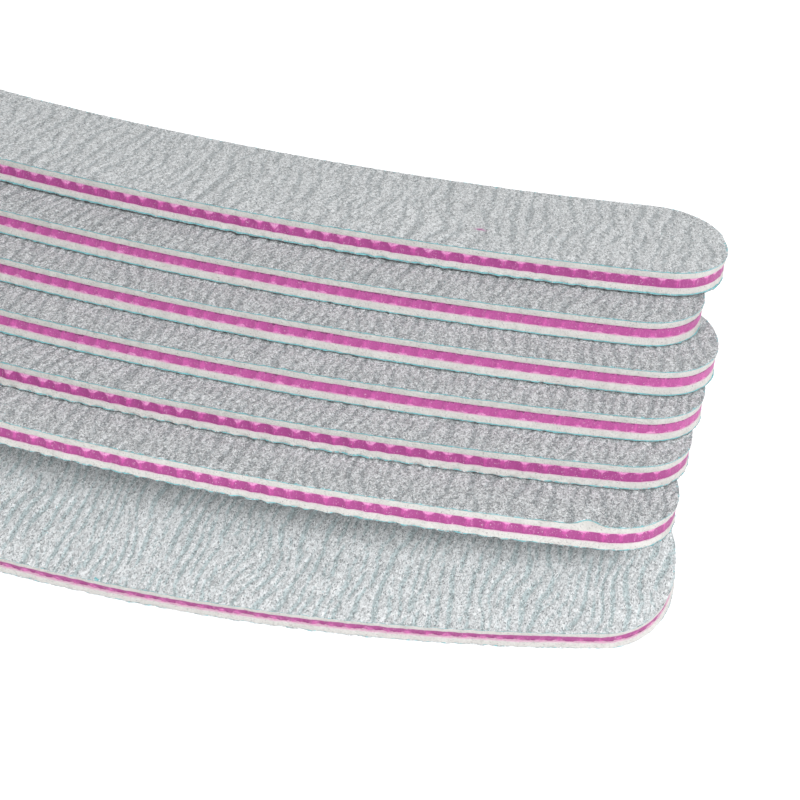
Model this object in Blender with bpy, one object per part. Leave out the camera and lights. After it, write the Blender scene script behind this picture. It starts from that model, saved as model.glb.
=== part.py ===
"""A leaning pile of seven curved, double-sided nail files.

Each file is a sandwich of five bonded layers with the same curved outline. The first file lies flat.
The second leans back over it, and every further file leans on the one before, parallel to it, with
its rear tips on the table. Metres, +X along the files, +Y from the flat file towards the last one,
+Z up. The origin is the middle of the flat file's underside.
"""

import math

import bpy
from mathutils import Matrix, Vector

# One file
FILE_LENGTH = 0.178
FILE_WIDTH = 0.028
BEND_RADIUS = 0.305  # of the line along the middle of the file, which curves in the file's own plane
END_DEPTH = 0.0118  # how far the rounded end reaches past the curved sides
END_EXPONENT = 2.2  # 2 would make the rounded end an ellipse, more makes it squarer

# Its layers, whose thicknesses add up to 4 mm with the four glue lines
ABRASIVE_THICKNESS = 0.00022
FOAM_THICKNESS = 0.00099
CORE_THICKNESS = 0.0015
GLUE_LINE = 0.00002
CORE_SETBACK = 0.0003  # the stiff core stays this far inside the foam's cut edge
LAYERS_UPWARDS = (
    ("bottom_abrasive", "abrasive", ABRASIVE_THICKNESS, 0.0),
    ("bottom_foam", "foam", FOAM_THICKNESS, 0.0),
    ("core", "core", CORE_THICKNESS, CORE_SETBACK),
    ("top_foam", "foam", FOAM_THICKNESS, 0.0),
    ("top_abrasive", "abrasive", ABRASIVE_THICKNESS, 0.0),
)
FILE_THICKNESS = sum(layer[2] for layer in LAYERS_UPWARDS) + GLUE_LINE * (len(LAYERS_UPWARDS) - 1)

# The pile
LEAN = math.radians(26.0)  # of every file but the first, back from level
# How each leaning file lies: the gap under it and its shift along X, both in metres, and its turn in
# its own plane in degrees
LEANING_FILES = (
    (0.00052, -0.0019, -2.0),
    (0.00014, -0.0018, -1.1),
    (0.00020, -0.0015, -1.4),
    (0.00036, -0.0011, -2.0),
    (0.00030, -0.0048, -2.6),
    (0.00036, -0.0030, -2.0),
)

# Points along each stretch of the outline
SIDE_STEPS = 14
END_STEPS = 12

# Colour, roughness of each material
MATERIALS = {
    "abrasive": ((0.60, 0.64, 0.65), 0.9),
    "foam": ((0.82, 0.82, 0.80), 0.75),
    "core": ((0.55, 0.10, 0.36), 0.45),
}


def clear_scene():
    for thing in list(bpy.data.objects):
        bpy.data.objects.remove(thing)


def make_material(name):
    colour, roughness = MATERIALS[name]
    material = bpy.data.materials.new(name)
    material.use_nodes = True
    shader = material.node_tree.nodes["Principled BSDF"]
    shader.inputs["Base Color"].default_value = (*colour, 1.0)
    shader.inputs["Roughness"].default_value = roughness
    shader.inputs["Metallic"].default_value = 0.0
    return material


def arc_point(radius, angle):
    """A point at that radius about the bend's centre, which lies at +Y; angle 0 is the file's middle."""
    return Vector((radius * math.sin(angle), BEND_RADIUS - radius * math.cos(angle)))


def signed_power(value, power):
    return math.copysign(abs(value) ** power, value)


def end_point(half_width, depth, end_angle, turn):
    """A point on the right-hand rounded end, from the outer side at turn -90 to the inner side at +90 degrees."""
    along = Vector((math.cos(end_angle), math.sin(end_angle)))
    across = Vector((-math.sin(end_angle), math.cos(end_angle)))
    reach = depth * signed_power(math.cos(turn), 2.0 / END_EXPONENT)
    side = half_width * signed_power(math.sin(turn), 2.0 / END_EXPONENT)
    return arc_point(BEND_RADIUS, end_angle) + along * reach + across * side


def outline(setback):
    """The file's outline in its own plane, anticlockwise, moved in by setback."""
    half_width = FILE_WIDTH / 2 - setback
    depth = END_DEPTH - setback
    end_angle = math.asin((FILE_LENGTH / 2 - END_DEPTH) / BEND_RADIUS)
    outer = [
        arc_point(BEND_RADIUS + half_width, end_angle * (2 * i / SIDE_STEPS - 1))
        for i in range(SIDE_STEPS)
    ]
    right = [
        end_point(half_width, depth, end_angle, math.pi * (i / END_STEPS - 0.5))
        for i in range(END_STEPS)
    ]
    inner = [
        arc_point(BEND_RADIUS - half_width, end_angle * (1 - 2 * i / SIDE_STEPS))
        for i in range(SIDE_STEPS)
    ]
    left = [Vector((-point.x, point.y)) for point in right[1:]]
    left.append(Vector((-inner[0].x, inner[0].y)))
    return outer + right + inner + left[::-1]


def layer_mesh(name, thickness, setback):
    """A flat slab with the file's outline, its underside at z = 0."""
    points = outline(setback)
    count = len(points)
    vertices = [(p.x, p.y, 0.0) for p in points] + [(p.x, p.y, thickness) for p in points]
    faces = [tuple(reversed(range(count))), tuple(range(count, 2 * count))]
    for i in range(count):
        following = (i + 1) % count
        faces.append((i, following, count + following, count + i))
    mesh = bpy.data.meshes.new(name)
    mesh.from_pydata(vertices, [], faces)
    mesh.validate()
    mesh.shade_smooth()
    mesh.set_sharp_from_angle(angle=math.radians(35))
    return mesh


def rear_reach(turn):
    """How far the outline reaches towards the rear once turned in its plane."""
    return max(p.x * math.sin(turn) + p.y * math.cos(turn) for p in outline(0.0))


def leaning_place(height, shift, turn):
    """The placing of a leaning file whose underside's plane is that height above the origin's."""
    rear_shift = height / math.tan(LEAN) - rear_reach(turn)  # its rear tip meets the table
    slope = Matrix.Rotation(-LEAN, 4, "X")
    in_plane = Matrix.Translation((0.0, rear_shift, height)) @ Matrix.Rotation(turn, 4, "Z")
    return Matrix.Translation((shift, 0.0, 0.0)) @ slope @ in_plane


def make_file(number, place, meshes, materials):
    """One nail file: an empty at its place, with the five layers as its children."""
    holder = bpy.data.objects.new(f"file_{number}_place", None)
    holder.matrix_world = place
    bpy.context.scene.collection.objects.link(holder)
    height = 0.0
    for layer, material, thickness, _ in LAYERS_UPWARDS:
        node = bpy.data.objects.new(f"file_{number}_{layer}", meshes[layer].copy())
        node.data.materials.append(materials[material])
        node.parent = holder
        node.location.z = height
        bpy.context.scene.collection.objects.link(node)
        height += thickness + GLUE_LINE


def main():
    clear_scene()
    materials = {name: make_material(name) for name in MATERIALS}
    meshes = {layer[0]: layer_mesh(layer[0], layer[2], layer[3]) for layer in LAYERS_UPWARDS}
    make_file(1, Matrix.Identity(4), meshes, materials)
    # The plane that slopes at the lean and touches the flat file's upper rear edge
    height = FILE_THICKNESS * math.cos(LEAN) + rear_reach(0.0) * math.sin(LEAN)
    for number, (gap, shift, turn) in enumerate(LEANING_FILES, start=2):
        height += gap
        make_file(number, leaning_place(height, shift, math.radians(turn)), meshes, materials)
        height += FILE_THICKNESS
    for mesh in meshes.values():
        bpy.data.meshes.remove(mesh)


main()
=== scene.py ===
"""The looks of a leaning pile of curved nail files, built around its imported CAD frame.

Every file is five pieces: a plastic core between two foam pads, with an abrasive sheet on each outer
face. Each piece is first laid out straight, in coordinates (s, v, z): s along the middle line of the
file, v across it towards the inner side of the bend, and z up from the file's underside. It is then
bent to the file's arc and put where the CAD file lies. Lengths are in metres unless a name ends in
_mm.
"""

import math
from collections import namedtuple

import bpy
import numpy as np
from mathutils import Matrix, Vector
from mathutils.geometry import delaunay_2d_cdt


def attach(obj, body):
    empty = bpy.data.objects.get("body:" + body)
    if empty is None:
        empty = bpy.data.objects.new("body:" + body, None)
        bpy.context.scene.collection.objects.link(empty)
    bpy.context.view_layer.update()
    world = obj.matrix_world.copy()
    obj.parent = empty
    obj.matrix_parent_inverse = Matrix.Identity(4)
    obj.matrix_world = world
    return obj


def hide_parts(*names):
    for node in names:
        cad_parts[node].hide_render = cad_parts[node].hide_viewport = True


MM = 0.001

# The outline of one file, as in the CAD
FILE_LENGTH = 178 * MM
FILE_WIDTH = 28 * MM
FILE_THICKNESS = 4 * MM
BEND_RADIUS = 305 * MM
END_DEPTH = 11.8 * MM
END_EXPONENT = 2.2
END_POINTS = 600
CORE_SETBACK = 0.3 * MM
SIDE_HALF = BEND_RADIUS * math.asin((FILE_LENGTH / 2 - END_DEPTH) / BEND_RADIUS)

# The files are numbered from the front
FILE_COUNT = 7
FLAT_FILE = 1
KNOCKED_FILE = 2
FLIPPED = (1, 4, 5, 6)  # files that lie the other way up, with the facets on the core's lower side

# Spacing of the mesh points
GRIT_STEP_S = 0.25 * MM
GRIT_STEP_V = 0.34 * MM
FOAM_STEP = 0.2 * MM
CORE_STEP = 0.15 * MM
GRID_MARGIN = 0.3 * MM  # between the inner points and the rim
SHARP_ANGLE = 55  # degrees

# Rows of the cut edges, from 0 at a layer's top to 1
TOP_SHEET_ROWS = (0.0, 0.2, 0.5, 1.0)
BOTTOM_SHEET_ROWS = (0.0, 0.5, 0.8, 1.0)
FOAM_ROWS = (0.0, 0.1, 0.25, 0.4, 0.6, 0.75, 0.9, 1.0)
CORE_ROWS = tuple(np.linspace(0, 1, 15))

# Each piece's own stretch of the materials' noise
TEXTURE_SHIFT_MM = 211.0

# Random draws: each piece has its seed, and each use of it has its own distance from that
LAYER_SEEDS = {"top_abrasive": 1, "top_foam": 2, "core": 4, "bottom_foam": 5, "bottom_abrasive": 6}
LUMPS_SEED, SWAY_SEED, SWELLS_SEED = 1, 2, 3
CORE_RAGGED_SEED, FACET_SEED, CORE_ROUGH_SEED = 2, 3, 20
GRIT_SEED, RAGGED_SEED, DRIFT_SEED = 500, 900, 950

# Random fields are kept on a grid with this spacing
FIELD_STEP_MM = 0.1
FIELD_SHAPE = (512, 2048)

# Relief of the abrasive
RIDGE_TOP = 0.02 * MM  # above the CAD face
RIDGE_HEIGHT = 0.18 * MM
RIDGE_STEEPNESS = 0.8
RIDGE_BIAS = 0.25  # makes the ridges broader than the valleys
VALLEY_STEEPNESS = 3.2
VALLEY_LEVEL = -0.6
GRIT_HEIGHT = 0.022 * MM
RIM_RELIEF = {"top": 0.3, "bottom": 0.55}  # the share of the relief that is left at the cut edge
SWAY_MM = 0.55  # how far the ridges sway from side to side
# Waves, lumps, swells and sway: frequency and bandwidth per mm, and spread of direction in degrees
WAVE_SPREAD = 11.0
LUMPS = (1.0, 0.45, 45.0)
SWELLS = (0.25, 0.12, 60.0)
SWAY = (0.0, 0.05, 1e6)
# The waves of each file's ridges: frequency and bandwidth per mm, and direction from x towards y in degrees
RIDGES = {1: (0.55, 0.22, -4.0), 2: (0.45, 0.2, 7.0), 3: (0.45, 0.2, -5.0), 4: (0.45, 0.2, 4.0)}
RIDGES.update({5: (0.45, 0.2, 9.0), 6: (0.45, 0.2, 0.0), 7: (0.4, 0.18, 6.0)})
# Each file's shares of long waves, of lumps and of broad swells
RELIEF_SHARES = {1: (1.25, 0.4, 0.0), 7: (1.0, 0.75, 0.1)}
RELIEF_SHARES.update({number: (1.1, 0.75, 0.0) for number in range(2, 7)})
# The share of teal paper that shows along the edges of the sheets
TOP_TEAL, FLAT_TOP_TEAL = 0.95, 0.7
TOP_RIM_TEAL, FLAT_TOP_RIM_TEAL = 0.42, 0.25
PAPER_ZONE = (0.2, 0.55)  # shares of the way from a sheet's outer face to its inner one
# where a lower sheet's rim is darkened with painted shade, for the shadow in the gap under it
CONTACT_SHADE_ZONE = (0.3, 0.55)
LOWER_TEAL = {1: 0.38, 2: 0.6, 3: 0.6, 4: 0.95, 5: 0.95, 6: 0.95, 7: 0.8}

# The cut edge: a groove between the two faces, and hollows that a round cutter left, with cusps between
GROOVE_DEPTH = 0.17 * MM
GROOVE_POWER = 2.5
FLARE = 0.22 * MM  # how far the flat file's lower rim stands out
FLARE_ZONE = (0.3, 1.0)  # zones are shares of the way from the file's middle to a face
FACE_ZONE = (0.4, 0.9)
FIRM_ZONE = (0.7, 0.95)
SCALLOP_PITCH = 2.7 * MM
MEAN_HOLLOW = 0.58
SCALLOP_SPREAD = 0.045  # how much the widths vary, as a share
HOLLOW_SPREAD = 0.2
FACET_SPREAD = 0.16
CUSP_SKEW = 0.12
# How deep the hollows are, in mm, at a file's lower face, in its core and at its upper face
FLAT_HOLLOWS = (0.12, 0.26, 0.10)
FLIPPED_HOLLOWS = (0.10, 0.24, 0.10)
UPRIGHT_HOLLOWS = (0.30, 0.26, 0.08)
LAST_HOLLOWS = (0.12, 0.18, 0.08)  # of the last file's left part; its right part is as the upright ones
LAST_CHANGE = (3 * MM, 15 * MM)
HOLLOWS_END = (62 * MM, 80 * MM)  # the hollows fade towards the ends
HOLLOWS_FADING = 0.75
FOAM_RECOVERY = 0.85  # the share of the hollows that the foam springs back from
FACET_DEPTH = 0.34  # of the whitened facets at the cusps, as a share of the core's thickness
FACET_SETBACK = 0.06 * MM
FACET_ROUNDNESS = 1.8
CUSP_ZONE = (0.3, 0.85)  # how near a cusp the facets begin and are whole
FLAT_FACET_DEPTH = 0.6
FLAT_FACET_SETBACK = 0.14 * MM
FLIPPED_FACET_SHARE = 0.85
FACETS_END = (35 * MM, 68 * MM)  # the facets fade towards the ends too
FACETS_FADING = 0.25
CORE_RECESS = 0.04 * MM
# Unevenness of the cut edges, in mm, and of the facets, as a share
SHEET_RAGGED = 0.045
SHEET_DRIFT = 0.035
FOAM_RAGGED = 0.02
FOAM_DRIFT = 0.03
FOAM_SWELL = 0.05
CORE_RAGGED = 0.012
CORE_ROUGH = 0.008
FACET_JITTER = 0.15
# Small marks
NICK_PLACE = 75.9 * MM
NICK_WIDTH = 1.5 * MM
NICK_REACH = 6 * MM
NICK_DEPTH = 1.6 * MM
NICK_ZONE = (0.68, 1.0)  # shares of the file's thickness
FLAKE_HEIGHT = 0.2 * MM
PAPER_FLAKE = (6.6 * MM, -13.7 * MM, 0.5 * MM, 0.35 * MM)  # raised at the front of the first file
CORE_FLECK = (50.0 * MM, -5.8 * MM, 0.8 * MM, 0.35 * MM)  # core dust on the last file's face

# Differences between the files
HANG = {4: 0.08 * MM, 5: 0.20 * MM, 6: 0.18 * MM}  # how far the lower pad bulges down
GRIT_REACH = {4: 0.02 * MM, 5: 0.02 * MM, 6: 0.02 * MM, 7: 0.08 * MM}  # how far the lower grit does so
TONE = {1: 0.0, 2: 0.0, 3: 0.1, 4: 1.0, 5: 1.0, 6: 0.9, 7: 0.15}  # 1 is the palest core

# Camera
CAMERA_TARGET = (0.0406, 0.0326, 0.0)
CAMERA_DISTANCE = 0.2976
CAMERA_AZIMUTH = 17.35
CAMERA_ELEVATION = 52.92
CAMERA_ROLL = -2.18
CAMERA_LENS = 83.3

# Light and floor
TENT_STRENGTH = 0.57
KEY_PLACE = (0.367, -0.27, 0.61)
KEY_TARGET = (0.02, 0.03, 0.0)
KEY_SIZE = 0.35
KEY_POWER = 4.7
FLOOR_HALF = 3.0
FLOOR_DROP = 0.3 * MM
FLOOR_COLOUR = (0.4, 0.4, 0.4)
FLOOR_GLOW = 0.76

# Colours, in pairs where they vary
GRIT_COLOURS = ((0.86, 0.885, 0.90), (0.94, 0.965, 0.98))
DARK_GRAIN = (0.20, 0.22, 0.23)
BRIGHT_GRAIN = (0.94, 0.95, 0.95)
# Painted shade for the dark gap where a lower sheet touches the next file
CONTACT_SHADE = (0.14, 0.16, 0.17)
TEAL_PAPER = (0.20, 0.55, 0.59)
CORE_FLECK_COLOUR = (0.50, 0.09, 0.34)
FOAM_COLOURS = ((0.59, 0.579, 0.557), (0.655, 0.645, 0.621))
FOAM_PORE = (0.44, 0.43, 0.415)
FOAM_SPECK = (0.26, 0.22, 0.25)
FOAM_DUST = (0.68, 0.385, 0.54)
# The magenta, and a darker one that is painted shade for the cutter's hollows; each runs from tone 0 to 1
CORE_BRIGHT = ((0.545, 0.08, 0.336), (0.62, 0.115, 0.395))
CORE_SHADED = ((0.35, 0.05, 0.225), (0.475, 0.085, 0.308))
CORE_FACET = (0.74, 0.25, 0.54)
CORE_PALEST = (0.76, 0.40, 0.60)
CORE_PORE = (0.27, 0.05, 0.19)
CORE_STREAK = (0.68, 0.22, 0.49)
CORE_DUST = (0.84, 0.62, 0.73)
# Painted shade for a dark speckled line along a flipped leaning core's upper rim, under the foam
CORE_TOP_SHADE = (0.10, 0.02, 0.07)

# Each abrasive: the valleys' colour, and the greys that dark and light grains shade it with
FLAT_ABRASIVE = ((0.45, 0.60, 0.62), 0.53, 0.99)
# The leaning files' grains are darker: painted shade, for the shade the leaning files cast on each other's
# faces
SHADED_LEANING_ABRASIVE = ((0.42, 0.47, 0.49), 0.37, 0.94)
LAST_ABRASIVE = ((0.44, 0.49, 0.51), 0.48, 1.0)

# Heights of the bumps in the materials
ABRASIVE_BUMP = 0.25 * MM
FOAM_BUMP = 0.14 * MM
CORE_BUMP = 0.1 * MM

Plan = namedtuple("Plan", "rim normal length inner faces rim_faces")


def bend(s, v):
    """Straight coordinates to the flat bent file; past the sides the end runs on straight."""
    turned = np.clip(s, -SIDE_HALF, SIDE_HALF)
    angle = turned / BEND_RADIUS
    x = (BEND_RADIUS - v) * np.sin(angle) + (s - turned) * np.cos(angle)
    y = BEND_RADIUS - (BEND_RADIUS - v) * np.cos(angle) + (s - turned) * np.sin(angle)
    return x, y


def signed_power(value, power):
    return np.sign(value) * np.abs(value) ** power


def outline(step, setback):
    """Evenly spaced points round the straight file, anticlockwise, with outward normals and the length
    so far."""
    half_width = FILE_WIDTH / 2 - setback
    turn = np.linspace(-math.pi / 2, math.pi / 2, END_POINTS)
    end_s = SIDE_HALF + (END_DEPTH - setback) * signed_power(np.cos(turn), 2 / END_EXPONENT)
    end_v = half_width * signed_power(np.sin(turn), 2 / END_EXPONENT)
    s = np.concatenate([end_s, -end_s[::-1], end_s[:1]])
    v = np.concatenate([end_v, end_v[::-1], end_v[:1]])
    along = np.concatenate([[0], np.cumsum(np.hypot(np.diff(s), np.diff(v)))])
    count = int(round(along[-1] / step))
    length = np.linspace(0, along[-1], count, endpoint=False)
    rim = np.stack([np.interp(length, along, s), np.interp(length, along, v)], axis=1)
    tangent = np.roll(rim, -1, axis=0) - np.roll(rim, 1, axis=0)
    tangent /= np.linalg.norm(tangent, axis=1)[:, None]
    return rim, np.stack([tangent[:, 1], -tangent[:, 0]], axis=1), length


def inner_grid(step_s, step_v, margin):
    """Staggered points inside the outline, at least margin away from it."""
    s = np.arange(-FILE_LENGTH / 2, FILE_LENGTH / 2, step_s)
    v = np.arange(-FILE_WIDTH / 2 + margin, FILE_WIDTH / 2 - margin + step_v / 2, step_v)
    s, v = np.meshgrid(s, v)
    s[1::2] += step_s / 2
    past = np.clip(np.abs(s) - SIDE_HALF, 0, None) / (END_DEPTH - margin)
    inside = past**END_EXPONENT + np.abs(v / (FILE_WIDTH / 2 - margin)) ** END_EXPONENT <= 1.0001
    return np.stack([s[inside], v[inside]], axis=1)


def triangles(rim, inner):
    """Triangles that fill the rim and use every inner point."""
    points = [Vector(p) for p in np.concatenate([rim, inner]) / MM]
    count = len(rim)
    edges = [(i, (i + 1) % count) for i in range(count)]
    return np.array(delaunay_2d_cdt(points, edges, [], 1, 1e-7, False)[2], dtype=np.int32)


def make_plan(step, setback, inner):
    rim, normal, length = outline(step, setback)
    rim_faces = triangles(rim, np.zeros((0, 2)))
    faces = triangles(rim, inner) if len(inner) else rim_faces
    return Plan(rim, normal, length, inner, faces, rim_faces)


def wave_field(seed, frequency, bandwidth, spread, direction=0.0):
    """A random field of waves that run mostly in one direction, as rows over y, with a spread of one."""
    random = np.random.default_rng(seed)
    over_x = np.fft.fftfreq(FIELD_SHAPE[1], FIELD_STEP_MM)[None, :]
    over_y = np.fft.fftfreq(FIELD_SHAPE[0], FIELD_STEP_MM)[:, None]
    angle = np.degrees(np.arctan(over_y / np.where(over_x == 0, 1e-9, over_x)))
    weight = np.exp(-0.5 * ((np.hypot(over_x, over_y) - frequency) / bandwidth) ** 2)
    off = (angle - direction + 90) % 180 - 90
    weight = weight * np.exp(-0.5 * (off / spread) ** 2)
    field = np.fft.ifft2(np.fft.fft2(random.standard_normal(FIELD_SHAPE)) * weight).real
    return field / field.std()


def sample(field, x, y):
    """The field at places of the flat bent file, read between its points."""
    column = x / MM / FIELD_STEP_MM + FIELD_SHAPE[1] / 2
    row = y / MM / FIELD_STEP_MM + FIELD_SHAPE[0] / 2
    left, low = np.floor(column).astype(int), np.floor(row).astype(int)
    part_x, part_y = column - left, row - low

    def take(r, c):
        return field[r % FIELD_SHAPE[0], c % FIELD_SHAPE[1]]

    near = take(low, left) * (1 - part_x) + take(low, left + 1) * part_x
    far = take(low + 1, left) * (1 - part_x) + take(low + 1, left + 1) * part_x
    return near * (1 - part_y) + far * part_y


class Relief:
    """The zebra relief of one abrasive sheet: broad lumpy ridges across the file, with narrow valleys. The
    file was cut from flat sheet, so the ridges don't follow its bend."""

    def __init__(self, seed, number):
        self.waviness, self.lumpiness, self.swelling = RELIEF_SHARES[number]
        frequency, bandwidth, direction = RIDGES[number]
        self.waves = wave_field(seed, frequency, bandwidth, WAVE_SPREAD, direction)
        self.lumps = wave_field(seed + LUMPS_SEED, *LUMPS, direction)
        self.swells = wave_field(seed + SWELLS_SEED, *SWELLS, direction)
        self.sway = wave_field(seed + SWAY_SEED, *SWAY)

    def level(self, s, v):
        """Random, with a spread of about one; below about -0.7 it is a valley."""
        x, y = bend(s, v)
        shift = SWAY_MM * MM * sample(self.sway, x, y)
        waves = sample(self.waves, x + shift, y)
        lumps = self.lumpiness * sample(self.lumps, x, y) + self.swelling * sample(self.swells, x, y)
        return self.waviness * waves + lumps

    def height(self, s, v):
        rise = np.tanh(RIDGE_STEEPNESS * self.level(s, v) + RIDGE_BIAS)
        return RIDGE_TOP - RIDGE_HEIGHT * (0.5 - 0.5 * rise)

    def valley(self, s, v):
        return 1 / (1 + np.exp(VALLEY_STEEPNESS * (self.level(s, v) - VALLEY_LEVEL)))


class Scallops:
    """The hollows round one file's cut edge."""

    def __init__(self, number, around):
        random = np.random.default_rng(number)
        count = int(round(around / SCALLOP_PITCH))
        widths = 1 + SCALLOP_SPREAD * random.standard_normal(count)
        self.count = count
        self.starts = np.concatenate([[0], np.cumsum(widths)]) / widths.sum()
        self.depths = np.clip(1 + HOLLOW_SPREAD * random.standard_normal(count), 0.5, 1.5)
        self.facets = np.clip(1 + FACET_SPREAD * random.standard_normal(count), 0.65, 1.4)
        self.skews = CUSP_SKEW * random.standard_normal(count)

    def measure(self, plan):
        """For each rim point: how hollow it is, how near a cusp from 0 to 1, and the facet's size there."""
        share = plan.length / (plan.length[-1] + plan.length[1])
        turn = np.interp(share, self.starts, np.arange(self.count + 1))
        across = 2 * (turn - np.floor(turn)) - 1
        hollow = 0.5 * (1 - across**2) + 0.25 * (1 + np.cos(math.pi * across))
        hollow = hollow * self.depths[np.floor(turn).astype(int) % self.count]
        cusp = np.round(turn).astype(int) % self.count
        near = np.clip(np.abs(across + self.skews[cusp]), 0, 1)
        return hollow, near, self.facets[cusp]


def scallop_depths(number, s):
    """How deep the hollows are at a file's lower face, in its core and at its upper face."""
    if number == FLAT_FILE:
        depths = FLAT_HOLLOWS
    elif number in FLIPPED:
        depths = FLIPPED_HOLLOWS
    elif number == FILE_COUNT:
        changed = smooth_step(*LAST_CHANGE, s)
        depths = [left + (right - left) * changed for left, right in zip(LAST_HOLLOWS, UPRIGHT_HOLLOWS)]
    else:
        depths = UPRIGHT_HOLLOWS
    fading = 1 - HOLLOWS_FADING * smooth_step(*HOLLOWS_END, np.abs(s))
    return [depth * fading * MM for depth in depths]


def cut_edge(number, z, s, hollow, recovery=0.0):
    """How far the cut edge stands out from the outline at height z, negative in the groove. The hollows
    are less deep by the share recovery, but not at the two faces."""
    low, middle, high = scallop_depths(number, s)
    share = 2 * z / FILE_THICKNESS - 1
    groove = GROOVE_DEPTH * (1 - abs(share) ** GROOVE_POWER)
    if number == FLAT_FILE:
        groove -= FLARE * smooth_step(*FLARE_ZONE, -share)
    face = high if share > 0 else low
    depth = middle + (face - middle) * smooth_step(*FACE_ZONE, abs(share))
    depth = depth * (1 - recovery * (1 - smooth_step(*FIRM_ZONE, abs(share))))
    return -groove - depth * (hollow - (0 if number == FLAT_FILE else MEAN_HOLLOW))


def nick(number, s, v, z):
    """How far the knocked file's upper rim is pressed in where it took the knock, towards +v."""
    if number != KNOCKED_FILE:
        return 0.0
    along = np.exp(-(((s - NICK_PLACE) / NICK_WIDTH) ** 2))
    inwards = np.clip(1 - (v + FILE_WIDTH / 2) / NICK_REACH, 0, 1)
    return NICK_DEPTH * along * inwards**2 * smooth_step(*NICK_ZONE, z / FILE_THICKNESS)


def spot(s, v, place):
    """A soft oval spot, 1 at its middle: place is its middle and its half sizes along s and v."""
    middle_s, middle_v, half_s, half_v = place
    return np.exp(-(((s - middle_s) / half_s) ** 2) - ((v - middle_v) / half_v) ** 2)


def local_axes(number):
    """A file's place, as a matrix from its own coordinates, read from its CAD core and lowest layer."""
    core = np.unique(np.round(node_points(f"file_{number}_core"), 7), axis=0)
    centre = core.mean(0)
    axes = np.linalg.svd(core - centre, full_matrices=False)[2]
    along = axes[0] * np.sign(axes[0][0])
    up = axes[2] * np.sign(axes[2][2])
    across = np.cross(up, along)
    spread_s = (core - centre) @ along
    spread_v = (core - centre) @ across
    lowest = ((node_points(f"file_{number}_bottom_abrasive") - centre) @ up).min()
    origin = (
        centre
        + along * (spread_s.min() + spread_s.max()) / 2
        + across * (spread_v.min() + FILE_WIDTH / 2 - CORE_SETBACK)
        + up * lowest
    )
    place = np.eye(4)
    place[:3, :3] = np.stack([along, across, up], axis=1)
    place[:3, 3] = origin
    return place


def node_points(node):
    return np.array([vertex.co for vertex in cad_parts[node].data.vertices], float)


def layer_heights(node, place):
    """Lowest and highest z of a CAD layer in its file's own coordinates."""
    height = (node_points(node) - place[:3, 3]) @ place[:3, 2]
    return height.min(), height.max()


def make_mesh(name, points, faces, attributes):
    mesh = bpy.data.meshes.new(name)
    mesh.vertices.add(len(points))
    mesh.vertices.foreach_set("co", points.astype(np.float32).ravel())
    mesh.loops.add(faces.size)
    mesh.loops.foreach_set("vertex_index", faces.astype(np.int32).ravel())
    mesh.polygons.add(len(faces))
    mesh.polygons.foreach_set("loop_start", np.arange(0, faces.size, 3, dtype=np.int32))
    mesh.update(calc_edges=True)
    for key, values in attributes.items():
        kind = "FLOAT_VECTOR" if values.ndim == 2 else "FLOAT"
        layer = mesh.attributes.new(key, kind, "POINT")
        layer.data.foreach_set("vector" if values.ndim == 2 else "value", values.astype(np.float32).ravel())
    mesh.shade_smooth()
    mesh.set_sharp_from_angle(angle=math.radians(SHARP_ANGLE))
    return mesh


def slab_faces(plan, rows, detailed):
    """The triangles of a closed slab: its cut edge, with the given number of rows, and its two ends. The
    end that detailed names, top or bottom, uses the plan's inner points, which come after the rows."""
    rim_count = len(plan.rim)
    here = np.arange(rim_count)
    after = (here + 1) % rim_count
    faces = []
    for row in range(rows - 1):
        high, low = row * rim_count, (row + 1) * rim_count
        faces.append(np.stack([low + here, low + after, high + after], axis=1))
        faces.append(np.stack([low + here, high + after, high + here], axis=1))
    last = (rows - 1) * rim_count
    if detailed == "top":
        faces.append(np.where(plan.faces < rim_count, plan.faces, plan.faces + last))
    else:
        faces.append(plan.rim_faces)
    if detailed == "bottom":
        faces.append(plan.faces[:, ::-1] + last)
    else:
        faces.append(plan.rim_faces[:, ::-1] + last)
    return np.concatenate(faces)


def build_slab(name, number, place, plan, top, bottom, levels, reach, detailed, seed, extra):
    """A closed slab. top(s, v) and bottom(s, v) are heights, levels the rows of the cut edge from 0 at the
    top to 1, and reach(level) how far the edge stands out there. extra(s, v, level) adds attributes."""
    rims = [plan.rim + plan.normal * reach(level)[:, None] for level in levels]
    s = [rim[:, 0] for rim in rims]
    v = [rim[:, 1] for rim in rims]
    rim_top = top(s[0], v[0])
    rim_bottom = bottom(s[-1], v[-1])
    z = [rim_top * (1 - level) + rim_bottom * level for level in levels]
    at = [np.full(len(plan.rim), level) for level in levels]
    if detailed:
        surface = top if detailed == "top" else bottom
        s.append(plan.inner[:, 0])
        v.append(plan.inner[:, 1])
        z.append(surface(s[-1], v[-1]))
        at.append(np.full(len(plan.inner), 0.0 if detailed == "top" else 1.0))
    s, v, z, at = (np.concatenate(part) for part in (s, v, z, at))
    v = v + nick(number, s, v, z)
    x, y = bend(s, v)
    points = np.stack([x, y, z], axis=1) @ place[:3, :3].T + place[:3, 3]
    cut = np.stack([s, v, z], axis=1) / MM + np.array([seed * TEXTURE_SHIFT_MM, 0.0, 0.0])
    faces = slab_faces(plan, len(levels), detailed)
    mesh = make_mesh(name, points, faces, {"cut": cut, **extra(s, v, at)})
    piece = bpy.data.objects.new(name, mesh)
    bpy.context.scene.collection.objects.link(piece)
    return piece


def smooth_step(low, high, value):
    t = np.clip((value - low) / (high - low), 0, 1)
    return t * t * (3 - 2 * t)


def edge_noise(seed, count, smoothing):
    """Smooth random numbers round a closed edge, with a spread of one."""
    values = np.random.default_rng(seed).standard_normal(count)
    frequency = np.fft.rfftfreq(count)
    values = np.fft.irfft(np.fft.rfft(values) * np.exp(-0.5 * (frequency * smoothing) ** 2), count)
    return values / values.std()


# ---------------------------------------------------------------- materials


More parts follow.
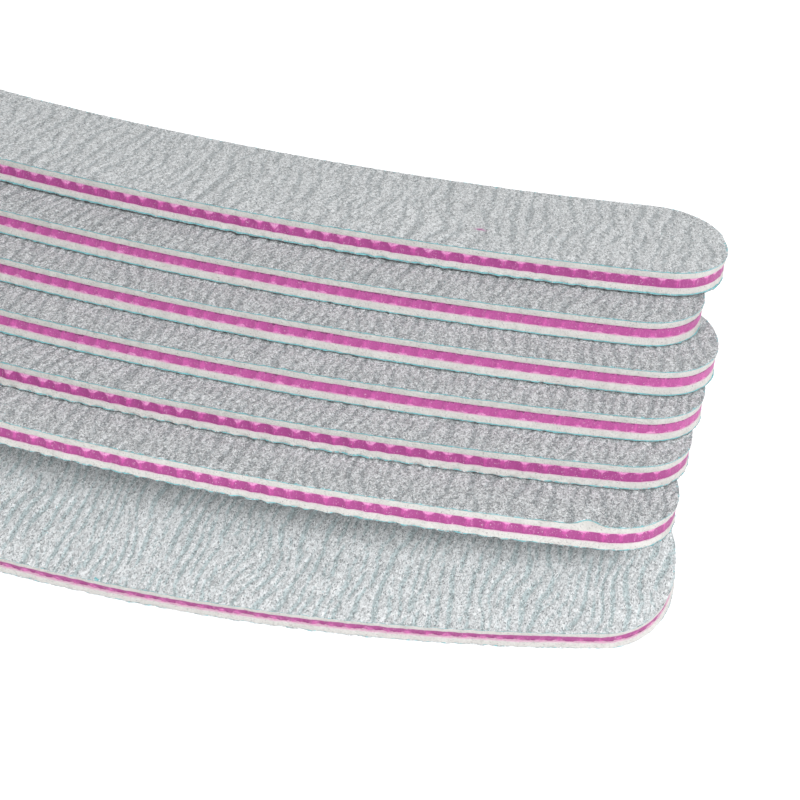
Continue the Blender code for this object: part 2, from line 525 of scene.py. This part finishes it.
class Nodes:
    """Short calls for building a material's node tree."""

    def __init__(self, name):
        self.material = bpy.data.materials.new(name)
        self.material.use_nodes = True
        self.tree = self.material.node_tree
        self.shader = self.tree.nodes["Principled BSDF"]

    def link(self, source, target):
        if isinstance(source, (int, float, tuple)):
            target.default_value = source
        else:
            self.tree.links.new(source, target)

    def attribute(self, name, output):
        node = self.tree.nodes.new("ShaderNodeAttribute")
        node.attribute_name = name
        return node.outputs[output]

    def noise(self, vector, scale, detail=2.0, roughness=0.5):
        node = self.tree.nodes.new("ShaderNodeTexNoise")
        self.link(vector, node.inputs["Vector"])
        node.inputs["Scale"].default_value = scale
        node.inputs["Detail"].default_value = detail
        node.inputs["Roughness"].default_value = roughness
        return node.outputs["Fac"]

    def stretch(self, vector, factors):
        node = self.tree.nodes.new("ShaderNodeVectorMath")
        node.operation = "MULTIPLY"
        self.link(vector, node.inputs[0])
        node.inputs[1].default_value = factors
        return node.outputs["Vector"]

    def voronoi(self, vector, scale, output="Distance"):
        node = self.tree.nodes.new("ShaderNodeTexVoronoi")
        self.link(vector, node.inputs["Vector"])
        node.inputs["Scale"].default_value = scale
        return node.outputs[output]

    def math(self, operation, first, second=0.0):
        node = self.tree.nodes.new("ShaderNodeMath")
        node.operation = operation
        self.link(first, node.inputs[0])
        self.link(second, node.inputs[1])
        return node.outputs[0]

    def scatter(self, value, size):
        """A noise value moved to lie round 0 and scaled."""
        return self.math("MULTIPLY", self.math("SUBTRACT", value, 0.5), size)

    def span(self, value, low, high, to_low=0.0, to_high=1.0):
        """value from low..high to to_low..to_high, held at both ends and smoothed between."""
        node = self.tree.nodes.new("ShaderNodeMapRange")
        node.interpolation_type = "SMOOTHSTEP"
        for key, number in zip(("From Min", "From Max", "To Min", "To Max"), (low, high, to_low, to_high)):
            node.inputs[key].default_value = number
        self.link(value, node.inputs["Value"])
        return node.outputs["Result"]

    def mix(self, share, first, second, blend="MIX"):
        node = self.tree.nodes.new("ShaderNodeMix")
        node.data_type = "RGBA"
        node.blend_type = blend
        self.link(share, node.inputs["Factor"])
        for key, colour in (("A", first), ("B", second)):
            socket = [i for i in node.inputs if i.name == key and i.type == "RGBA"][0]
            self.link((*colour, 1.0) if isinstance(colour, tuple) else colour, socket)
        return [o for o in node.outputs if o.type == "RGBA"][0]

    def bump(self, height, strength, distance):
        node = self.tree.nodes.new("ShaderNodeBump")
        node.inputs["Strength"].default_value = strength
        node.inputs["Distance"].default_value = distance
        self.link(height, node.inputs["Height"])
        self.link(node.outputs["Normal"], self.shader.inputs["Normal"])


def abrasive_material(name, valley_colour, dark_grain, light_grain):
    """Pale grey grit, thinner in the valleys, on teal paper that shows along the cut edge. A lower sheet's
    rim is darkened with painted shade where it touches the next file, for the shadow in the gap between them."""
    n = Nodes(name)
    cut = n.stretch(n.attribute("cut", "Vector"), (1.1, 0.85, 1.0))
    coarse = n.voronoi(cut, 3.0, "Color")
    grain = n.voronoi(cut, 6.0, "Color")
    fine = n.noise(cut, 2.4, 3.0, 0.6)
    cloud = n.noise(cut, 0.3, 2.0)
    valley = n.math("ADD", n.attribute("valley", "Fac"), n.scatter(fine, 0.7))
    grit = n.mix(n.span(cloud, 0.3, 0.7), *GRIT_COLOURS)
    sheet = n.mix(n.span(valley, 0.0, 1.0, 0.0, 0.6), grit, valley_colour)
    speck = n.math("ADD", n.math("MULTIPLY", grain, 0.6), n.math("MULTIPLY", coarse, 0.4))
    shade = n.mix(n.span(speck, 0.2, 0.8), (dark_grain,) * 3, (light_grain,) * 3)
    sheet = n.mix(1.0, sheet, shade, "MULTIPLY")
    sheet = n.mix(n.span(grain, 0.12, 0.26, 0.75, 0.0), sheet, DARK_GRAIN)
    sheet = n.mix(n.span(grain, 0.80, 0.92, 0.0, 0.9), sheet, BRIGHT_GRAIN)
    fray = n.math("ADD", n.attribute("paper", "Fac"), n.scatter(n.noise(cut, 1.6, 4.0, 0.7), 2.2))
    # Painted shade along a lower sheet's rim, where it touches the next file
    sheet = n.mix(n.attribute("grime", "Fac"), sheet, CONTACT_SHADE)
    sheet = n.mix(n.span(fray, 0.35, 0.65), sheet, TEAL_PAPER)
    sheet = n.mix(n.attribute("fleck", "Fac"), sheet, CORE_FLECK_COLOUR)
    n.link(sheet, n.shader.inputs["Base Color"])
    n.link(n.span(grain, 0.8, 0.95, 0.85, 0.5), n.shader.inputs["Roughness"])
    n.bump(n.math("ADD", speck, fine), 1.0, ABRASIVE_BUMP)
    return n.material


def foam_material():
    """Off-white closed-cell foam with fine pores and specks, and core dust along its inner side."""
    n = Nodes("white_foam")
    cut = n.attribute("cut", "Vector")
    pores = n.voronoi(cut, 5.5)
    fine = n.noise(cut, 3.2, 3.0, 0.65)
    cloud = n.noise(cut, 0.6, 2.0)
    base = n.mix(n.span(cloud, 0.3, 0.7), *FOAM_COLOURS)
    base = n.mix(n.span(fine, 0.28, 0.52, 0.8, 0.0), base, FOAM_PORE)
    specks = n.noise(cut, 3.6, 1.0)
    base = n.mix(n.span(specks, 0.65, 0.75, 0.0, 0.65), base, FOAM_SPECK)
    dust = n.math("ADD", n.attribute("dust", "Fac"), n.scatter(fine, 1.2))
    base = n.mix(n.span(dust, 0.45, 1.2, 0.0, 0.8), base, FOAM_DUST)
    n.link(base, n.shader.inputs["Base Color"])
    n.link(n.span(fine, 0.2, 0.8, 0.7, 0.9), n.shader.inputs["Roughness"])
    n.bump(n.math("ADD", pores, fine), 0.6, FOAM_BUMP)
    return n.material


def core_material():
    """Magenta plastic, darker with painted shade in the cutter's hollows and lighter towards the cusps,
    whitened at its facets, with white dust, and a painted shade line along a flipped leaning core's upper
    rim.
    """
    n = Nodes("magenta_core")
    cut = n.attribute("cut", "Vector")
    fine = n.noise(cut, 4.0, 4.0, 0.75)
    streak = n.noise(n.stretch(cut, (1.0, 1.0, 0.3)), 3.0, 4.0, 0.65)
    # Painted shade: the hollows get the darker magenta, lighter towards the cusps
    hollow = n.math("ADD", n.attribute("hollow", "Fac"), n.scatter(streak, 2.4))
    bright = n.mix(n.attribute("tone", "Fac"), *CORE_BRIGHT)
    dark = n.mix(n.attribute("tone", "Fac"), *CORE_SHADED)
    base = n.mix(n.span(hollow, 0.2, 0.8), bright, dark)
    white = n.math("ADD", n.attribute("whitening", "Fac"), n.scatter(fine, 1.6))
    base = n.mix(n.span(white, 0.15, 0.9), base, CORE_FACET)
    base = n.mix(n.span(white, 0.8, 1.3), base, CORE_PALEST)
    base = n.mix(n.span(fine, 0.28, 0.52, 0.7, 0.0), base, CORE_PORE)
    base = n.mix(n.span(streak, 0.55, 0.72, 0.0, 0.6), base, CORE_STREAK)
    dust = n.noise(cut, 4.6, 1.0)
    base = n.mix(n.span(dust, 0.66, 0.76, 0.0, 0.55), base, CORE_DUST)
    # Painted shade along the upper rim of a flipped leaning core
    burr = n.math("ADD", n.attribute("burr", "Fac"), n.scatter(streak, 3.0))
    base = n.mix(n.span(burr, 0.65, 0.95, 0.0, 0.8), base, CORE_TOP_SHADE)
    n.link(base, n.shader.inputs["Base Color"])
    n.link(n.span(fine, 0.2, 0.8, 0.42, 0.6), n.shader.inputs["Roughness"])
    n.bump(n.math("ADD", fine, streak), 0.5, CORE_BUMP)
    return n.material


# ---------------------------------------------------------------- pieces


def piece_seed(number, layer):
    return number * 10 + LAYER_SEEDS[layer]


def flat(height):
    """A surface with the same height everywhere."""
    return lambda s, v: np.full(len(s), height)


def build_abrasive(number, side, place, plan, scallops, material):
    """One abrasive sheet, with the relief on its outer face."""
    node = f"file_{number}_{side}_abrasive"
    low, high = layer_heights(node, place)
    seed = piece_seed(number, f"{side}_abrasive")
    relief = Relief(seed, number)
    grit = np.random.default_rng(seed + GRIT_SEED)
    hollow = scallops.measure(plan)[0]
    s_rim = plan.rim[:, 0]
    hang = HANG.get(number, 0.0) if side == "bottom" else 0.0
    grit_reach = GRIT_REACH.get(number, 0.0) if side == "bottom" else 0.0
    marked = side == "top" and number == FLAT_FILE
    dusted = side == "top" and number == FILE_COUNT

    def outer(s, v):
        """How far the outer face stands out from the CAD layer."""
        rough = relief.height(s, v) + GRIT_HEIGHT * grit.standard_normal(len(s))
        if len(s) == len(s_rim) and number != KNOCKED_FILE:
            rough = RIM_RELIEF[side] * rough
        rough = rough + grit_reach
        return rough + (FLAKE_HEIGHT * spot(s, v, PAPER_FLAKE) if marked else 0)

    def top(s, v):
        return high + outer(s, v) if side == "top" else flat(high - hang)(s, v)

    def bottom(s, v):
        return low - hang - outer(s, v) if side == "bottom" else flat(low)(s, v)

    ragged = edge_noise(seed + RAGGED_SEED, len(plan.rim), 4) * SHEET_RAGGED * MM
    drift = edge_noise(seed + DRIFT_SEED, len(plan.rim), 30) * SHEET_DRIFT * MM
    levels = TOP_SHEET_ROWS if side == "top" else BOTTOM_SHEET_ROWS

    def reach(level):
        height = high * (1 - level) + low * level
        rough = ragged * (0.5 + 0.5 * math.sin(math.pi * level))
        return cut_edge(number, height, s_rim, hollow) + drift + rough

    def extra(s, v, level):
        outside = level if side == "top" else 1 - level
        edge = slice(0, len(plan.rim) * len(levels))
        grime = np.zeros(len(s))
        if side == "bottom":
            paper = LOWER_TEAL[number] * smooth_step(*PAPER_ZONE, outside)
            # Painted shade on the rim, where it touches the next file below
            if number != FLAT_FILE:
                grime[edge] = 1 - smooth_step(*CONTACT_SHADE_ZONE, outside[edge])
        else:
            share, rim_share = TOP_TEAL, TOP_RIM_TEAL
            if number == FLAT_FILE:
                share, rim_share = FLAT_TOP_TEAL, FLAT_TOP_RIM_TEAL
            paper = share * smooth_step(*PAPER_ZONE, outside)
            paper[: len(plan.rim)] = rim_share
        if marked:
            paper = np.maximum(paper, 0.8 * spot(s, v, PAPER_FLAKE))
        fleck = spot(s, v, CORE_FLECK) if dusted else np.zeros(len(s))
        return {"valley": relief.valley(s, v), "paper": paper, "fleck": fleck, "grime": grime}

    piece = build_slab(node + "_sheet", number, place, plan, top, bottom, levels, reach, side, seed, extra)
    finish_piece(piece, node, number, material)


def build_foam(number, side, place, plan, scallops, material):
    """One foam pad. It swells a little out of the cut edge and has core dust near the core."""
    node = f"file_{number}_{side}_foam"
    low, high = layer_heights(node, place)
    seed = piece_seed(number, f"{side}_foam")
    hang = HANG.get(number, 0.0) if side == "bottom" else 0.0
    hollow = scallops.measure(plan)[0]
    s_rim = plan.rim[:, 0]
    ragged = edge_noise(seed + RAGGED_SEED, len(plan.rim), 8) * FOAM_RAGGED * MM
    drift = edge_noise(seed + DRIFT_SEED, len(plan.rim), 60) * FOAM_DRIFT * MM

    def reach(level):
        height = high * (1 - level) + low * level
        swell = FOAM_SWELL * MM * math.sin(math.pi * level)
        return cut_edge(number, height, s_rim, hollow, FOAM_RECOVERY) + drift + ragged + swell

    def extra(s, v, level):
        return {"dust": level**3 if side == "top" else (1 - level) ** 3}

    top, bottom = flat(high), flat(low - hang)
    piece = build_slab(node + "_pad", number, place, plan, top, bottom, FOAM_ROWS, reach, None, seed, extra)
    finish_piece(piece, node, number, material)


def build_core(number, place, plan, scallops, material):
    """One core. Its cut edge is painted darker in the hollows as shade and lighter towards the cusps, with
    whitened facets at the cusps on one side.
    """
    node = f"file_{number}_core"
    low, high = layer_heights(node, place)
    seed = piece_seed(number, "core")
    hollow, near, size = scallops.measure(plan)
    s_rim = plan.rim[:, 0]
    ragged = edge_noise(seed + CORE_RAGGED_SEED, len(plan.rim), 8) * CORE_RAGGED * MM
    jitter = 1 + FACET_JITTER * edge_noise(seed + FACET_SEED, len(plan.rim), 12)
    leaning_flipped = number in FLIPPED and number != FLAT_FILE
    deepest, setback = FACET_DEPTH, FACET_SETBACK
    if number == FLAT_FILE:
        deepest, setback = FLAT_FACET_DEPTH, FLAT_FACET_SETBACK
    elif leaning_flipped:
        deepest *= FLIPPED_FACET_SHARE
    begin, whole = CUSP_ZONE
    inside = 1 - np.clip((near - begin) / (whole - begin), 0, 1)
    fading = 1 - FACETS_FADING * smooth_step(*FACETS_END, np.abs(s_rim))
    facet_depth = deepest * size * jitter * fading * (1 - inside**FACET_ROUNDNESS)

    def from_side(level):
        """How far this level is from the side with the facets."""
        return 1 - level if number in FLIPPED else level

    def facet(level):
        """How far, as a share of the core's thickness, this level is inside the facets."""
        return np.clip(facet_depth - from_side(level), 0, None)

    def reach(level):
        height = high * (1 - level) + low * level
        edge = CORE_SETBACK - CORE_RECESS + cut_edge(number, height, s_rim, hollow)
        row_seed = seed + CORE_ROUGH_SEED + int(round(40 * level))
        rough = edge_noise(row_seed, len(plan.rim), 4) * CORE_ROUGH * MM
        return edge - setback * smooth_step(0.0, 0.2, facet(level)) + ragged + rough

    def extra(s, v, level):
        far = from_side(level)
        rows = len(CORE_ROWS)
        whitening = smooth_step(-0.06, 0.2, np.tile(facet_depth, rows) - far)
        whitening *= 0.5 if number == FLAT_FILE else 1.0
        # Painted shade in the hollows, lighter near the cusps, and less so away from the facets
        between = np.tile(fading * smooth_step(0.45, 1.0, near), rows)
        hollow_shade = 1 - between * (0.75 - 0.5 * smooth_step(0.45, 0.9, far))
        tone = np.full(len(s), TONE[number])
        # Painted shade near the upper rim of a flipped leaning core
        burr = (1 - level) ** 5 if leaning_flipped else np.zeros(len(s))
        return {"whitening": whitening, "hollow": hollow_shade, "tone": tone, "burr": burr}

    top, bottom = flat(high), flat(low)
    piece = build_slab(node + "_board", number, place, plan, top, bottom, CORE_ROWS, reach, None, seed, extra)
    finish_piece(piece, node, number, material)


def finish_piece(piece, node, number, material):
    """Let the piece take its CAD node's place and move with its file."""
    piece.data.materials.append(material)
    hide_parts(node)
    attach(piece, f"file_{number}")


# ---------------------------------------------------------------- camera, light and floor


def make_camera():
    azimuth, elevation, roll = (math.radians(a) for a in (CAMERA_AZIMUTH, CAMERA_ELEVATION, CAMERA_ROLL))
    back = Vector(
        (
            math.sin(azimuth) * math.cos(elevation),
            -math.cos(azimuth) * math.cos(elevation),
            math.sin(elevation),
        )
    )
    right = Vector((math.cos(azimuth), math.sin(azimuth), 0.0))
    up = back.cross(right)
    rolled_right = right * math.cos(roll) + up * math.sin(roll)
    rolled_up = up * math.cos(roll) - right * math.sin(roll)
    turn = Matrix((rolled_right, rolled_up, back)).transposed().to_4x4()
    data = bpy.data.cameras.new("camera")
    data.lens = CAMERA_LENS
    data.clip_start = 0.01
    camera = bpy.data.objects.new("camera", data)
    camera.matrix_world = Matrix.Translation(Vector(CAMERA_TARGET) + back * CAMERA_DISTANCE) @ turn
    bpy.context.scene.collection.objects.link(camera)
    bpy.context.scene.camera = camera


def make_light(name, place, target, size, power):
    data = bpy.data.lights.new(name, "AREA")
    data.shape = "DISK"
    data.size = size
    data.energy = power
    light = bpy.data.objects.new(name, data)
    light.location = place
    light.rotation_euler = (Vector(target) - Vector(place)).to_track_quat("-Z", "Y").to_euler()
    bpy.context.scene.collection.objects.link(light)


def make_lights():
    """An even white surround, and one large soft lamp from the front right."""
    world = bpy.data.worlds.new("white_tent")
    world.use_nodes = True
    background = world.node_tree.nodes["Background"]
    background.inputs["Color"].default_value = (1.0, 1.0, 1.0, 1.0)
    background.inputs["Strength"].default_value = TENT_STRENGTH
    bpy.context.scene.world = world
    make_light("key", KEY_PLACE, KEY_TARGET, KEY_SIZE, KEY_POWER)


def make_floor():
    """A floor that glows to an even white, so only the pile's shade shows on it."""
    floor_mesh = bpy.data.meshes.new("floor")
    half = FLOOR_HALF
    corners = [(-half, -half, 0), (half, -half, 0), (half, half, 0), (-half, half, 0)]
    floor_mesh.from_pydata(corners, [], [(0, 1, 2, 3)])
    floor = bpy.data.objects.new("floor", floor_mesh)
    floor.location.z = -FLOOR_DROP
    bpy.context.scene.collection.objects.link(floor)
    n = Nodes("pale_floor")
    n.shader.inputs["Base Color"].default_value = (*FLOOR_COLOUR, 1.0)
    n.shader.inputs["Roughness"].default_value = 0.9
    n.shader.inputs["Emission Color"].default_value = (1.0, 1.0, 1.0, 1.0)
    n.shader.inputs["Emission Strength"].default_value = FLOOR_GLOW
    floor_mesh.materials.append(n.material)


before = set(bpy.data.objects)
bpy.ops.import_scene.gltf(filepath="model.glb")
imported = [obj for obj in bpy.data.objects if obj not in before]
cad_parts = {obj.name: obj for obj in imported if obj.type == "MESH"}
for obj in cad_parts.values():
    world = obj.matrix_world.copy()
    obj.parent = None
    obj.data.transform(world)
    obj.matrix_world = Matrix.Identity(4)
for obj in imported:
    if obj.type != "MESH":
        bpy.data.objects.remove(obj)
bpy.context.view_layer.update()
grid = inner_grid(GRIT_STEP_S, GRIT_STEP_V, GRID_MARGIN)
no_points = np.zeros((0, 2))
sheet_plan = make_plan(GRIT_STEP_S, 0.0, grid)
foam_plan = make_plan(FOAM_STEP, 0.0, no_points)
core_plan = make_plan(CORE_STEP, CORE_SETBACK, no_points)
flat_abrasive = abrasive_material("zebra_abrasive_flat", *FLAT_ABRASIVE)
# The leaning files' abrasive is a darker copy, as painted shade
shaded_leaning_abrasive = abrasive_material("zebra_abrasive", *SHADED_LEANING_ABRASIVE)
last_abrasive = abrasive_material("zebra_abrasive_last", *LAST_ABRASIVE)
foam = foam_material()
core = core_material()
around = foam_plan.length[-1] + foam_plan.length[1]
for number in range(1, FILE_COUNT + 1):
    place = local_axes(number)
    abrasive = {FLAT_FILE: flat_abrasive, FILE_COUNT: last_abrasive}.get(number, shaded_leaning_abrasive)
    scallops = Scallops(number, around)
    build_core(number, place, core_plan, scallops, core)
    for side in ("top", "bottom"):
        build_foam(number, side, place, foam_plan, scallops, foam)
        build_abrasive(number, side, place, sheet_plan, scallops, abrasive)
make_camera()
make_lights()
make_floor()
bpy.context.scene.view_settings.view_transform = "Standard"
